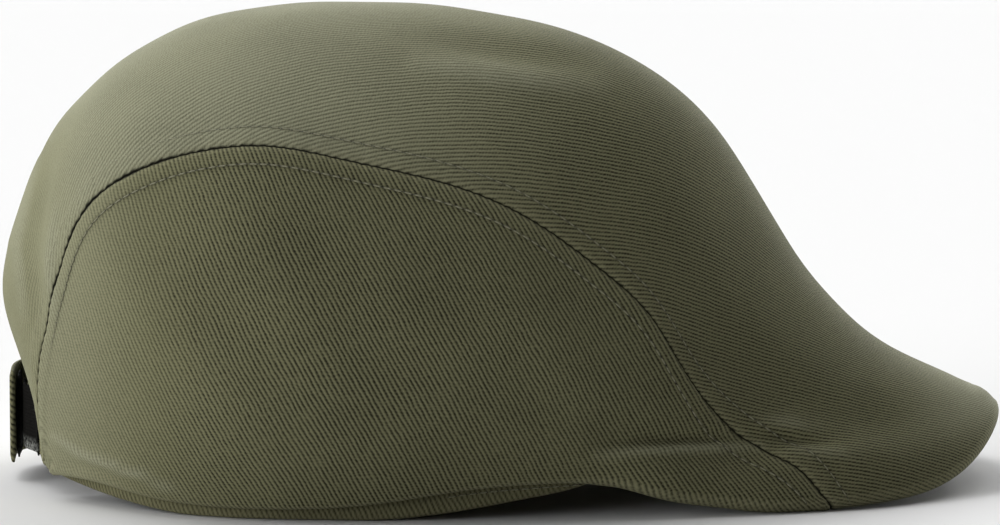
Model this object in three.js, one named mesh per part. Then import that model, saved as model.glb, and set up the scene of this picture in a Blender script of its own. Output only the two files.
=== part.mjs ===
// Duckbill flat cap of olive cotton twill: a long top panel, two side panels, an inner band,
// a small curved peak under the front cloth, and an adjustable strap across the back opening.
// Millimetres. +X points to the front, +Y to the wearer's left, +Z up, and the cap stands on Z = 0.
import * as THREE from 'three';

// cloth and clearances
const clothWall = 1.4;
const pieceGap = 0.3;
const seamGap = 0.44;
const hemRollRadius = 1.7;
const peakRollRadius = 2.9;
const rollTurn = THREE.MathUtils.degToRad(125);

// grid steps of the shells
const rowStep = 0.5;
const ledgeRowStep = 0.25;
const halfTopSteps = 10;
const sideSteps = 12;
const rollSteps = 3;

// One row for each arch of the cap, from the back opening (row 0) over the crown to the peak's
// front edge. An arch runs from the crest at Y = 0 through the seam to the hem. Leans are degrees
// below the horizontal, the sweep is degrees backward from the Y axis, and the sag is how far the
// stretch between crest and seam lies lower than a plain curve.
const archColumns = [
  'crestX', 'crestZ', 'sag', 'seamX', 'seamY', 'seamZ', 'seamLean', 'seamSweep', 'hemX', 'hemY', 'hemZ', 'hemLean',
];
const archRows = [
  [-128.5, 34, 0, -119.5, 41, 9, 78, -20, -118, 42, 7.5, 90],
  [-132.5, 50, 0, -120.5, 43.5, 30, 62, -40, -114, 48, 8, 98],
  [-128.7, 69.4, 0, -117, 48, 50, 58, -32, -103, 59, 8, 103],
  [-117.6, 94, 0, -109, 53.5, 73.5, 55, -22, -90, 69, 7, 106],
  [-96, 113.6, 0, -94, 60, 87.5, 52, -12, -72, 77.5, 6, 108],
  [-69, 123.9, 0, -68, 64, 94.5, 50, 0, -51, 82, 5.5, 108],
  [-42.5, 125.9, 0, -43, 66.5, 92, 52, 4, -31, 83, 6.5, 106],
  [-16, 124.8, 0, -18, 68, 86.5, 54, 6, -12, 82, 9, 103],
  [10.5, 120.5, 0, 5, 68.5, 77.6, 57, 8, 5, 79.5, 10.5, 99],
  [37, 109.6, 0, 25, 68, 63.7, 62, 10, 20, 77, 11, 94],
  [58.6, 91, 0, 39, 67, 50, 66, 14, 30, 75.5, 10.7, 85],
  [74.4, 65.8, 0, 51, 65, 30.8, 64, 22, 42, 74.5, 7.6, 78],
  [90.4, 44.6, 0.6, 64, 62.8, 18.2, 56, 36, 55, 72, 5.7, 72],
  [106.4, 32.2, 1.2, 75, 63, 12, 40, 52, 67.5, 69.5, 4.3, 68],
  [122.2, 24.9, 2.4, 80.2, 63.8, 7.4, 22, 64, 77, 66.7, 4, 66],
  [131.4, 19.8, 4, 83, 64.6, 4, 3, 71, 82.4, 64.8, 4, 64],
];
const lastRow = archRows.length - 1;
const sideStart = 0.25;
const sideEnd = lastRow - 0.04;

// The soft ledge where the crown's side lands on the peak, a row for each arch that it crosses:
// where it lies on the arch (1 is the seam, 2 the hem), how far it is pressed in, how far the
// cloth under it stands out, and its width.
const ledgeColumns = ['row', 'place', 'valley', 'ridge', 'width'];
const ledgeRows = [
  [9, 1.84, 0, 0, 6],
  [10, 1.74, 1.5, 0.6, 6],
  [11, 1.5, 1.7, 0.7, 6],
  [12, 1.1, 1.2, 0.4, 7],
  [13, 0.82, 0.6, 0.2, 8],
  [14, 0.6, 0, 0, 9],
];
const ledgeFirst = ledgeRows[0][0];
const ledgeLast = ledgeRows[ledgeRows.length - 1][0];

// Stations of the band's outer lower edge, from its back end to the middle of the front, with the
// height of the band there and how far its upper edge stands inward.
const bandColumns = ['x', 'y', 'z', 'height', 'inward'];
const bandRows = [
  [-115, 38.5, 5.3, 22, 1],
  [-107.5, 49, 4, 24, 1.5],
  [-97, 60, 2.3, 26, 2],
  [-83, 69, 0.5, 27, 2],
  [-67, 75.5, 0, 28, 2],
  [-49, 78.2, 0, 28, 2],
  [-29, 79.2, 0.6, 28, 2],
  [-10, 78, 2.6, 28, 3],
  [7, 75.3, 5.4, 28, 4],
  [21, 71, 8, 27, 5],
  [36, 62.5, 13.5, 26, 5],
  [51, 50.5, 20.5, 24, 6],
  [64.5, 35, 28, 22, 7],
  [73, 17.5, 33.5, 20, 8],
  [75.5, 0, 35.5, 20, 9],
];
const bandWall = 1.8;
// the cloth's own weight flattens the lowest stretch of the band on each side
const bandSettle = 0.4;

// the peak's board, cloth on both faces
const boardHalfThickness = 1;
const boardBackGap = 0.4;
const boardDip = 0.03;

// plan paths of the strap and its tab behind the opening
const pathColumns = ['x', 'y'];
const strapPath = [[-130.4, -12], [-130.9, -4], [-130.8, 4], [-129.2, 11.5], [-125.2, 18], [-121.1, 26], [-119.8, 35.4]];
const tabPath = [[-126.2, -4], [-125.8, -11], [-124, -17.5], [-121.2, -24], [-121, -32]];
const strapWall = 1.6;
const strapBottom = 4.6;
const strapTop = 29;
const strapCorner = 1.8;
const tabBottom = 9;
const tabTop = 26;
const tapeWall = 0.9;

// materials
const twill = { color: 0x6c6b52, roughness: 0.92, metalness: 0 };
const bandTwill = { color: 0x64634b, roughness: 0.93, metalness: 0 };
const tape = { color: 0x16150f, roughness: 0.85, metalness: 0 };

// natural cubic through evenly spaced values, as a function of the row
function splineThrough(values) {
  const last = values.length - 1;
  const bend = new Array(last + 1).fill(0);
  const share = [0];
  for (let i = 1; i < last; i += 1) {
    const pivot = 4 - share[i - 1];
    share.push(1 / pivot);
    bend[i] = (6 * (values[i - 1] - 2 * values[i] + values[i + 1]) - bend[i - 1]) / pivot;
  }
  for (let i = last - 1; i > 0; i -= 1) {
    bend[i] -= share[i] * bend[i + 1];
  }
  return (row) => {
    const place = THREE.MathUtils.clamp(row, 0, last);
    const i = Math.min(Math.floor(place), last - 1);
    const t = place - i;
    const a = 1 - t;
    return a * values[i] + t * values[i + 1]
      + ((a ** 3 - a) * bend[i] + (t ** 3 - t) * bend[i + 1]) / 6;
  };
}

// one spline for each named column of a table
function splinesOf(columns, rows) {
  return Object.fromEntries(columns.map((name, k) => [name, splineThrough(rows.map((row) => row[k]))]));
}

const arch = splinesOf(archColumns, archRows);
const ledge = splinesOf(ledgeColumns, ledgeRows);
const band = splinesOf(bandColumns, bandRows);

function directionOf(leanDegrees, sweepDegrees) {
  const lean = THREE.MathUtils.degToRad(leanDegrees);
  const sweep = THREE.MathUtils.degToRad(sweepDegrees);
  return new THREE.Vector3(
    -Math.sin(sweep) * Math.cos(lean),
    Math.cos(sweep) * Math.cos(lean),
    -Math.sin(lean),
  );
}

function hermite(start, startPull, end, endPull, t) {
  return new THREE.Vector3()
    .addScaledVector(start, 2 * t ** 3 - 3 * t ** 2 + 1)
    .addScaledVector(startPull, t ** 3 - 2 * t ** 2 + t)
    .addScaledVector(end, -2 * t ** 3 + 3 * t ** 2)
    .addScaledVector(endPull, t ** 3 - t ** 2);
}

// smooth cap on the wearer's left: across is 0 at the crest, 1 at the seam, 2 at the hem
const topPull = 1.15;
const sidePull = 1.1;
function archPoint(row, across) {
  const crest = new THREE.Vector3(arch.crestX(row), 0, arch.crestZ(row));
  const seam = new THREE.Vector3(arch.seamX(row), arch.seamY(row), arch.seamZ(row));
  const seamWay = directionOf(arch.seamLean(row), arch.seamSweep(row));
  if (across <= 1) {
    const span = crest.distanceTo(seam) * topPull;
    const outward = new THREE.Vector3(0, span, 0);
    const point = hermite(crest, outward, seam, seamWay.multiplyScalar(span), across);
    point.z -= arch.sag(row) * Math.sin(Math.PI * across) ** 2;
    return point;
  }
  const hem = new THREE.Vector3(arch.hemX(row), arch.hemY(row), arch.hemZ(row));
  const span = seam.distanceTo(hem) * sidePull;
  const hemWay = directionOf(arch.hemLean(row), 0).multiplyScalar(span);
  return hermite(seam, seamWay.multiplyScalar(span), hem, hemWay, across - 1);
}

// outward normal of a surface given as a function of row and across
function normalOf(surface, row, across) {
  const step = 0.004;
  const low = Math.max(row - step, 0);
  const high = Math.min(row + step, lastRow);
  const near = Math.max(across - step, 0);
  const far = Math.min(across + step, 2);
  const alongRows = surface(high, across).sub(surface(low, across));
  const alongArch = surface(row, far).sub(surface(row, near));
  return alongRows.cross(alongArch).normalize();
}

function bump(distance, width) {
  return Math.exp(-((distance / width) ** 2));
}

// distance along an arch between two places on it, counted on each side of the seam
function archDistance(row, from, to) {
  const crest = new THREE.Vector3(arch.crestX(row), 0, arch.crestZ(row));
  const seam = new THREE.Vector3(arch.seamX(row), arch.seamY(row), arch.seamZ(row));
  const hem = new THREE.Vector3(arch.hemX(row), arch.hemY(row), arch.hemZ(row));
  const onTop = Math.min(to, 1) - Math.min(from, 1);
  const onSide = Math.max(to, 1) - Math.max(from, 1);
  return onTop * crest.distanceTo(seam) * topPull + onSide * seam.distanceTo(hem) * sidePull;
}

// the cap's outer face, with the soft ledge over the peak
function skinPoint(row, across) {
  const point = archPoint(row, across);
  if (row <= ledgeFirst || row >= ledgeLast) {
    return point;
  }
  const k = row - ledgeFirst;
  const width = ledge.width(k);
  const offset = archDistance(row, ledge.place(k), across);
  const press = ledge.ridge(k) * bump(offset - 1.6 * width, width) - ledge.valley(k) * bump(offset, width);
  return point.addScaledVector(normalOf(archPoint, row, across), press);
}

// radius of the turned edge: small over the band, larger round the peak's board
function rollRadius(row) {
  return THREE.MathUtils.lerp(hemRollRadius, peakRollRadius, THREE.MathUtils.smoothstep(row, 8.6, 9.8));
}

// Frame of the turned edge. Up to the last arch it follows the hem, and past it the peak's front
// from the seam's end to the tip: edgePlace runs 0..lastRow along the hem, then 1 more to the tip.
function edgeFrame(edgePlace) {
  const onHem = edgePlace <= lastRow;
  const row = Math.min(edgePlace, lastRow);
  const across = onHem ? 2 : 1 - (edgePlace - lastRow);
  const step = 0.004;
  const normal = normalOf(skinPoint, row, across);
  const forward = onHem
    ? skinPoint(Math.min(row + step, lastRow), 2).sub(skinPoint(Math.max(row - step, 0), 2))
    : skinPoint(lastRow, Math.max(across - step, 0)).sub(skinPoint(lastRow, across + step));
  const outward = forward.cross(normal).normalize().negate();
  return { point: skinPoint(row, across), normal, outward, radius: onHem ? rollRadius(row) : peakRollRadius };
}

// a point on the turned edge, at a depth under the cloth's outer face
function rollPoint(frame, angle, depth) {
  const reach = frame.radius - depth;
  const point = frame.point.clone()
    .addScaledVector(frame.normal, -frame.radius + reach * Math.cos(angle))
    .addScaledVector(frame.outward, reach * Math.sin(angle));
  return point.setZ(Math.max(point.z, depth));
}

function mirrored(point) {
  return new THREE.Vector3(point.x, -point.y, point.z);
}

// six times the volume that a list of triangles encloses, negative if they face inward
function enclosed(points, faces) {
  let sum = 0;
  for (let i = 0; i < faces.length; i += 3) {
    const [a, b, c] = faces.slice(i, i + 3).map((k) => points[k]);
    sum += a.dot(b.clone().cross(c));
  }
  return sum;
}

// closed mesh between two grids of points with the same counts
function closedShell(name, look, face, back) {
  const rows = face.length;
  const columns = face[0].length;
  const points = [...face.flat(), ...back.flat()];
  const at = (side, i, j) => side * rows * columns + i * columns + j;
  const faces = [];
  const quad = (a, b, c, d) => faces.push(a, b, c, a, c, d);
  for (let i = 0; i < rows - 1; i += 1) {
    for (let j = 0; j < columns - 1; j += 1) {
      quad(at(0, i, j), at(0, i + 1, j), at(0, i + 1, j + 1), at(0, i, j + 1));
      quad(at(1, i, j), at(1, i, j + 1), at(1, i + 1, j + 1), at(1, i + 1, j));
    }
    quad(at(0, i, 0), at(1, i, 0), at(1, i + 1, 0), at(0, i + 1, 0));
    quad(at(0, i, columns - 1), at(0, i + 1, columns - 1), at(1, i + 1, columns - 1), at(1, i, columns - 1));
  }
  for (let j = 0; j < columns - 1; j += 1) {
    quad(at(0, 0, j), at(0, 0, j + 1), at(1, 0, j + 1), at(1, 0, j));
    quad(at(0, rows - 1, j), at(1, rows - 1, j), at(1, rows - 1, j + 1), at(0, rows - 1, j + 1));
  }
  if (enclosed(points, faces) < 0) {
    faces.reverse();
  }
  const geometry = new THREE.BufferGeometry();
  geometry.setAttribute('position', new THREE.Float32BufferAttribute(points.flatMap((p) => p.toArray()), 3));
  geometry.setIndex(faces);
  const body = geometry.toNonIndexed();
  body.computeVertexNormals();
  const mesh = new THREE.Mesh(body, new THREE.MeshStandardMaterial(look));
  mesh.name = name;
  return mesh;
}

function steps(count, low = 0, high = 1) {
  return Array.from({ length: count + 1 }, (_, i) => low + ((high - low) * i) / count);
}

// the even rows between two ends, closer over the ledge, so that neighbours share their facets
function rowsBetween(start, end) {
  const even = steps(lastRow / rowStep, 0, lastRow);
  const close = steps((ledgeLast - ledgeFirst) / ledgeRowStep, ledgeFirst, ledgeLast);
  return [...new Set([start, sideStart, sideEnd, end, ...even, ...close])]
    .filter((row) => row >= start && row <= end)
    .sort((a, b) => a - b);
}

// share of the arch that keeps half of the seam's gap on each panel
function seamInset(row, across) {
  const step = 0.01;
  const speed = skinPoint(row, across).distanceTo(skinPoint(row, across + step)) / step;
  return seamGap / 2 / speed;
}

// The top panel: rows over the crown, then the turned front edge of the peak.
function topPanel() {
  const faceAt = (row, side, depth) => {
    const across = Math.abs(side) * (1 - seamInset(row, 0.97));
    const point = skinPoint(row, across).addScaledVector(normalOf(skinPoint, row, across), -depth);
    return side < 0 ? mirrored(point) : point;
  };
  const edgeAt = (angle, side, depth) => {
    const across = Math.abs(side) * (1 - seamInset(lastRow, 0.97));
    const point = rollPoint(edgeFrame(lastRow + 1 - across), angle, depth);
    return side < 0 ? mirrored(point) : point;
  };
  const sides = steps(2 * halfTopSteps, -1, 1);
  const face = (depth) => [
    ...rowsBetween(0, lastRow).map((row) => sides.map((side) => faceAt(row, side, depth))),
    ...steps(rollSteps, 0, rollTurn).slice(1).map((angle) => sides.map((side) => edgeAt(angle, side, depth))),
  ];
  return closedShell('top_panel', twill, face(0), face(clothWall));
}

// A side panel: from the seam down to the hem, then the turned lower edge.
function sidePanel(name, toSide) {
  const place = (point) => (toSide < 0 ? mirrored(point) : point);
  const face = (depth) => rowsBetween(sideStart, sideEnd).map((row) => {
    const frame = edgeFrame(row);
    const start = 1 + seamInset(row, 1.01);
    return [
      ...steps(sideSteps, start, 2).map((across) => place(
        skinPoint(row, across).addScaledVector(normalOf(skinPoint, row, across), -depth),
      )),
      ...steps(rollSteps, 0, rollTurn).slice(1).map((angle) => place(rollPoint(frame, angle, depth))),
    ];
  });
  return closedShell(name, twill, face(0), face(clothWall));
}

// point of the band's wall: around -1..1 is right end, front middle, left end
function bandPoint(around, up, depth) {
  const last = bandRows.length - 1;
  const row = last * (1 - Math.abs(around));
  const step = 0.01;
  const flat = (k) => new THREE.Vector3(band.x(k), band.y(k), 0);
  const ahead = flat(Math.min(row + step, last)).sub(flat(Math.max(row - step, 0)));
  const inward = new THREE.Vector3(ahead.y, -ahead.x, 0).normalize();
  const point = flat(row)
    .addScaledVector(inward, depth + up * band.inward(row))
    .setZ(Math.max(band.z(row) - bandSettle, 0) + up * band.height(row));
  return around < 0 ? mirrored(point) : point;
}

function bandPiece() {
  const rounds = steps(48, -1, 1);
  const ups = steps(3);
  const face = (depth) => rounds.map((around) => ups.map((up) => bandPoint(around, up, depth)));
  return closedShell('band', bandTwill, face(0), face(bandWall));
}

// The peak's board: from the turned edge back to the band, thick half and half about its middle.
const boardCorner = 10.5;
function boardMiddle(edgePlace, inwardShare) {
  const frame = edgeFrame(edgePlace);
  const edge = frame.point.clone().addScaledVector(frame.normal, -frame.radius);
  const start = boardCorner;
  const share = (edgePlace - start) / (lastRow + 1 - start);
  const bandFront = 9.2 / (bandRows.length - 1);
  const around = 1 - THREE.MathUtils.lerp(bandFront, 1, share);
  const back = bandPoint(around, 0.04, -boardBackGap - boardHalfThickness);
  const reach = edge.distanceTo(back);
  const leave = frame.outward.clone().addScaledVector(frame.normal, boardDip).multiplyScalar(-reach * 0.8);
  const arrive = back.clone().sub(edge).multiplyScalar(0.9);
  return hermite(edge, leave, back, arrive, inwardShare);
}

function boardPoint(edgePlace, inwardShare, lift) {
  const step = 0.01;
  const last = lastRow + 1;
  const low = Math.max(edgePlace - step, boardCorner);
  const high = Math.min(edgePlace + step, last);
  const around = boardMiddle(high, inwardShare).sub(boardMiddle(low, inwardShare));
  const inward = boardMiddle(edgePlace, Math.min(inwardShare + step, 1))
    .sub(boardMiddle(edgePlace, Math.max(inwardShare - step, 0)));
  const normal = inward.cross(around).normalize();
  return boardMiddle(edgePlace, inwardShare).addScaledVector(normal, lift);
}

function peakPiece() {
  const places = steps(18, boardCorner, lastRow + 1);
  const inwards = steps(7);
  const half = (lift) => places.map((place) => inwards.map((share) => boardPoint(place, share, lift)));
  const whole = (lift) => {
    const left = half(lift);
    const right = left.slice(0, -1).map((row) => row.map(mirrored));
    return [...left, ...right.reverse()];
  };
  return closedShell('peak', bandTwill, whole(-boardHalfThickness), whole(boardHalfThickness));
}

// A flat ribbon on edge: its plan path, its wall thickness behind the path and its height.
function ribbon(name, look, path, from, to, offset, wall, bottom, top, corner = 0) {
  const curve = splinesOf(pathColumns, path);
  const last = path.length - 1;
  const places = steps(16, from * last, to * last);
  const ups = [0, 0.5, 1];
  const face = (depth) => places.map((place) => {
    const step = 0.01;
    const low = Math.max(place - step, 0);
    const high = Math.min(place + step, last);
    const ahead = new THREE.Vector2(curve.x(high) - curve.x(low), curve.y(high) - curve.y(low)).normalize();
    const fromEnd = Math.abs(curve.y(place) - curve.y(from * last));
    const trim = Math.max(corner - fromEnd, 0);
    return ups.map((up) => new THREE.Vector3(
      curve.x(place) + Math.abs(ahead.y) * (offset + depth),
      curve.y(place) - Math.sign(ahead.y) * ahead.x * (offset + depth),
      THREE.MathUtils.lerp(bottom + trim, top - trim, up),
    ));
  });
  return closedShell(name, look, face(0), face(wall));
}

const cap = new THREE.Group();
cap.add(
  topPanel(),
  sidePanel('side_panel_right', -1),
  sidePanel('side_panel_left', 1),
  bandPiece(),
  peakPiece(),
  ribbon('strap', twill, strapPath, 0, 1, 0, strapWall, strapBottom, strapTop, strapCorner),
  ribbon('hook_tape', tape, strapPath, 0.03, 0.3, strapWall + pieceGap, tapeWall, tabBottom, tabTop),
  ribbon('strap_tab', twill, tabPath, 0, 1, 0, strapWall, tabBottom, tabTop),
  ribbon('loop_tape', tape, tabPath, 0.03, 0.9, -pieceGap - tapeWall, tapeWall, tabBottom, tabTop),
);

export default cap;
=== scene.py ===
import math

import bmesh
import bpy
import numpy as np
from mathutils import Matrix, Vector


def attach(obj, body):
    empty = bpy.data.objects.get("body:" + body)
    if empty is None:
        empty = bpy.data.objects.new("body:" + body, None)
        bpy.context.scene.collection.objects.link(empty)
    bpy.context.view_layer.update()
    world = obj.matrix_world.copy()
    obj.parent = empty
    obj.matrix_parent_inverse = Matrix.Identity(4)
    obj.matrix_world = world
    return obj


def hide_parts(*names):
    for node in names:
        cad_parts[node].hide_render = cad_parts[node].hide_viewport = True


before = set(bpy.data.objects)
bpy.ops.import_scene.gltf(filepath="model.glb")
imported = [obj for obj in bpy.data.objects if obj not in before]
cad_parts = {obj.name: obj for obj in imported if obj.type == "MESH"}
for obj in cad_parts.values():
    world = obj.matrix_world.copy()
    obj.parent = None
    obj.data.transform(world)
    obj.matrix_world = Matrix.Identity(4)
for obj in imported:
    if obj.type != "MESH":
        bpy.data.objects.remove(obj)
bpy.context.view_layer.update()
scene = bpy.context.scene
metre = 0.001
print("frame loaded:", ", ".join(sorted(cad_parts)))


def added(name, data):
    # a new object in the scene
    made = bpy.data.objects.new(name, data)
    scene.collection.objects.link(made)
    return made


# camera first: side view from the wearer's right, looking a little down
view = {"away": 1.6, "rise": 7.0, "aimHeight": 0.06, "lens": 216.17, "shiftX": -0.00125, "shiftY": -0.0129}
rise = math.radians(view["rise"])
cameraData = bpy.data.cameras.new("camera")
cameraData.lens = view["lens"]
cameraData.shift_x = view["shiftX"]
cameraData.shift_y = view["shiftY"]
cameraData.clip_end = 50
camera = added("camera", cameraData)
camera.location = (0, -view["away"] * math.cos(rise), view["aimHeight"] + view["away"] * math.sin(rise))
camera.rotation_euler = (math.radians(90) - rise, 0, 0)
scene.camera = camera


# The cap's skin, the same one as the part's source: one row for each arch from the back opening
# over the crown to the peak's front edge. Across is 0 at the crest, 1 at the seam, 2 at the hem.
archColumns = ("crestX", "crestZ", "sag", "seamX", "seamY", "seamZ", "seamLean", "seamSweep",
               "hemX", "hemY", "hemZ", "hemLean")
archRows = (
    (-128.5, 34, 0, -119.5, 41, 9, 78, -20, -118, 42, 7.5, 90),
    (-132.5, 50, 0, -120.5, 43.5, 30, 62, -40, -114, 48, 8, 98),
    (-128.7, 69.4, 0, -117, 48, 50, 58, -32, -103, 59, 8, 103),
    (-117.6, 94, 0, -109, 53.5, 73.5, 55, -22, -90, 69, 7, 106),
    (-96, 113.6, 0, -94, 60, 87.5, 52, -12, -72, 77.5, 6, 108),
    (-69, 123.9, 0, -68, 64, 94.5, 50, 0, -51, 82, 5.5, 108),
    (-42.5, 125.9, 0, -43, 66.5, 92, 52, 4, -31, 83, 6.5, 106),
    (-16, 124.8, 0, -18, 68, 86.5, 54, 6, -12, 82, 9, 103),
    (10.5, 120.5, 0, 5, 68.5, 77.6, 57, 8, 5, 79.5, 10.5, 99),
    (37, 109.6, 0, 25, 68, 63.7, 62, 10, 20, 77, 11, 94),
    (58.6, 91, 0, 39, 67, 50, 66, 14, 30, 75.5, 10.7, 85),
    (74.4, 65.8, 0, 51, 65, 30.8, 64, 22, 42, 74.5, 7.6, 78),
    (90.4, 44.6, 0.6, 64, 62.8, 18.2, 56, 36, 55, 72, 5.7, 72),
    (106.4, 32.2, 1.2, 75, 63, 12, 40, 52, 67.5, 69.5, 4.3, 68),
    (122.2, 24.9, 2.4, 80.2, 63.8, 7.4, 22, 64, 77, 66.7, 4, 66),
    (131.4, 19.8, 4, 83, 64.6, 4, 3, 71, 82.4, 64.8, 4, 64),
)
ledgeColumns = ("place", "valley", "ridge", "width")
ledgeRows = (
    (1.84, 0, 0, 6),
    (1.74, 1.5, 0.6, 6),
    (1.5, 1.7, 0.7, 6),
    (1.1, 1.2, 0.4, 7),
    (0.82, 0.6, 0.2, 8),
    (0.6, 0, 0, 9),
)
ledgeFirst = 9
ledgeLast = 14
lastRow = len(archRows) - 1
sideStart = 0.04
sideEnd = lastRow - 0.04
topPull = 1.15
sidePull = 1.1
hemRoll = 1.7
peakRoll = 2.9
rollGrows = (8.6, 9.8)      # rows over which the hem's roll grows into the peak's
rollTurn = 150              # how far round the turned edges go, degrees
smallStep = 0.004           # used for slopes
columnsCrowd = 1.6          # how much closer the columns stand near the seam

bandColumns = ("x", "y", "z", "height", "inward")
bandRows = (
    (-115, 38.5, 5.3, 22, 1),
    (-107.5, 49, 4, 24, 1.5),
    (-97, 60, 2.3, 26, 2),
    (-83, 69, 0.5, 27, 2),
    (-67, 75.5, 0, 28, 2),
    (-49, 78.2, 0, 28, 2),
    (-29, 79.2, 0.6, 28, 2),
    (-10, 78, 2.6, 28, 3),
    (7, 75.3, 5.4, 28, 4),
    (21, 71, 8, 27, 5),
    (36, 62.5, 13.5, 26, 5),
    (51, 50.5, 20.5, 24, 6),
    (64.5, 35, 28, 22, 7),
    (73, 17.5, 33.5, 20, 8),
    (75.5, 0, 35.5, 20, 9),
)
bandSettle = 0.4
# how far the worn hem sinks at each arch
hemDrops = (0, 0, -0.6, -1.6, -1.7, -1.0, -0.4, 0, 0, 0, 0, 0, 0, 0, 0, 0)


def splineThrough(values):
    # natural cubic through evenly spaced values; past its ends it stays at the last one
    values = np.array(values, float)
    last = len(values) - 1
    weights = np.eye(last + 1)
    jumps = np.zeros(values.shape)
    for i in range(1, last):
        weights[i, i - 1:i + 2] = (1, 4, 1)
        jumps[i] = 6 * (values[i - 1] - 2 * values[i] + values[i + 1])
    bend = np.linalg.solve(weights, jumps)

    def at(place):
        place = np.clip(place, 0, last)
        i = np.minimum(np.floor(place).astype(int), last - 1)
        t = (place - i).reshape(np.shape(place) + (1,) * (values.ndim - 1))
        a = 1 - t
        bent = (a ** 3 - a) * bend[i] + (t ** 3 - t) * bend[i + 1]
        return a * values[i] + t * values[i + 1] + bent / 6

    return at


def splinesOf(columns, rows):
    return {name: splineThrough([row[k] for row in rows]) for k, name in enumerate(columns)}


arch = splinesOf(archColumns, archRows)
archHem = arch["hemZ"]
hemSink = splineThrough(hemDrops)
arch["hemZ"] = lambda row: archHem(row) + hemSink(row)
ledge = splinesOf(ledgeColumns, ledgeRows)
band = splinesOf(bandColumns, bandRows)


def joined(x, y, z):
    return np.stack(np.broadcast_arrays(x, y, z), -1).astype(float)


def length(vectors):
    return np.sqrt((vectors ** 2).sum(-1))


def unit(vectors):
    return vectors / np.maximum(length(vectors), 1e-9)[..., None]


def runOf(points):
    # how far along a line of points each of them lies
    return np.concatenate(([0], np.cumsum(length(np.diff(points, axis=0)))))


def smooth(low, high, value):
    t = np.clip((value - low) / (high - low), 0, 1)
    return t * t * (3 - 2 * t)


def directionOf(lean, sweep):
    lean = np.radians(lean)
    sweep = np.radians(sweep)
    return joined(-np.sin(sweep) * np.cos(lean), np.cos(sweep) * np.cos(lean), -np.sin(lean))


def hermite(start, startPull, end, endPull, t):
    t = np.asarray(t)[..., None]
    return (start * (2 * t ** 3 - 3 * t ** 2 + 1) + startPull * (t ** 3 - 2 * t ** 2 + t)
            + end * (3 * t ** 2 - 2 * t ** 3) + endPull * (t ** 3 - t ** 2))


def archEnds(row):
    # an arch's points on the crest, the seam and the hem
    crest = joined(arch["crestX"](row), 0, arch["crestZ"](row))
    seam = joined(arch["seamX"](row), arch["seamY"](row), arch["seamZ"](row))
    hem = joined(arch["hemX"](row), arch["hemY"](row), arch["hemZ"](row))
    return crest, seam, hem


def archPoint(row, across):
    row, across = np.broadcast_arrays(np.asarray(row, float), np.asarray(across, float))
    crest, seam, hem = archEnds(row)
    seamWay = directionOf(arch["seamLean"](row), arch["seamSweep"](row))
    topSpan = (length(seam - crest) * topPull)[..., None]
    sideSpan = (length(hem - seam) * sidePull)[..., None]
    top = hermite(crest, np.array((0, 1, 0)) * topSpan, seam, seamWay * topSpan, across)
    top[..., 2] -= arch["sag"](row) * np.sin(np.pi * across) ** 2
    hemWay = directionOf(arch["hemLean"](row), np.zeros_like(row)) * sideSpan
    side = hermite(seam, seamWay * sideSpan, hem, hemWay, across - 1)
    return np.where((across <= 1)[..., None], top, side)


def normalOf(surface, row, across):
    alongRows = surface(row + smallStep, across) - surface(row - smallStep, across)
    nextAcross = np.minimum(across + smallStep, 2)
    acrossBefore = np.maximum(across - smallStep, 0)
    alongArch = surface(row, nextAcross) - surface(row, acrossBefore)
    return unit(np.cross(alongRows, alongArch))


def bump(distance, width):
    return np.exp(-((distance / width) ** 2))


def skinPoint(row, across):
    # the outer face, with the soft ledge where the crown's side lands on the peak
    row, across = np.broadcast_arrays(np.asarray(row, float), np.asarray(across, float))
    point = archPoint(row, across)
    k = np.clip(row - ledgeFirst, 0, ledgeLast - ledgeFirst)
    inside = (row > ledgeFirst) & (row < ledgeLast)
    crest, seam, hem = archEnds(row)
    start = ledge["place"](k)
    offset = ((np.minimum(across, 1) - np.minimum(start, 1)) * length(seam - crest) * topPull
              + (np.maximum(across, 1) - np.maximum(start, 1)) * length(hem - seam) * sidePull)
    width = ledge["width"](k)
    press = ledge["ridge"](k) * bump(offset - 1.6 * width, width) - ledge["valley"](k) * bump(offset, width)
    return point + normalOf(archPoint, row, across) * (press * inside)[..., None]


def edgeFrame(edgePlace):
    # the turned edge: along the hem up to the last row, then along the peak's front to the tip
    edgePlace = np.asarray(edgePlace, float)
    onHem = edgePlace <= lastRow
    row = np.minimum(edgePlace, lastRow)
    across = np.where(onHem, 2.0, 1 - (edgePlace - lastRow))
    normal = normalOf(skinPoint, row, across)
    alongHem = skinPoint(row + smallStep, 2.0) - skinPoint(row - smallStep, 2.0)
    nearerTip = np.maximum(across - smallStep, 0)
    alongFront = skinPoint(lastRow, nearerTip) - skinPoint(lastRow, across + smallStep)
    forward = np.where(onHem[..., None], alongHem, alongFront)
    outward = -unit(np.cross(forward, normal))
    radius = hemRoll + (peakRoll - hemRoll) * smooth(*rollGrows, edgePlace)
    return skinPoint(row, across), normal, outward, radius


def rollPoint(edge, angle, depth):
    point, normal, outward, radius = edge
    reach = radius - depth
    rolled = (point + normal * (reach * np.cos(angle) - radius)[..., None]
              + outward * (reach * np.sin(angle))[..., None])
    rolled[..., 2] = np.maximum(rolled[..., 2], depth)
    return rolled


def sideView(points):
    # where the camera sees a point, in the plane through the cap's middle; both sides alike
    away = view["away"] / metre
    aim = view["aimHeight"] / metre
    nearer = np.abs(points[..., 1])
    higher = points[..., 2] - aim
    depth = away - nearer * math.cos(rise) - higher * math.sin(rise)
    up = higher * math.cos(rise) - nearer * math.sin(rise)
    return away * points[..., 0] / depth, aim + away * up / depth


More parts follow.
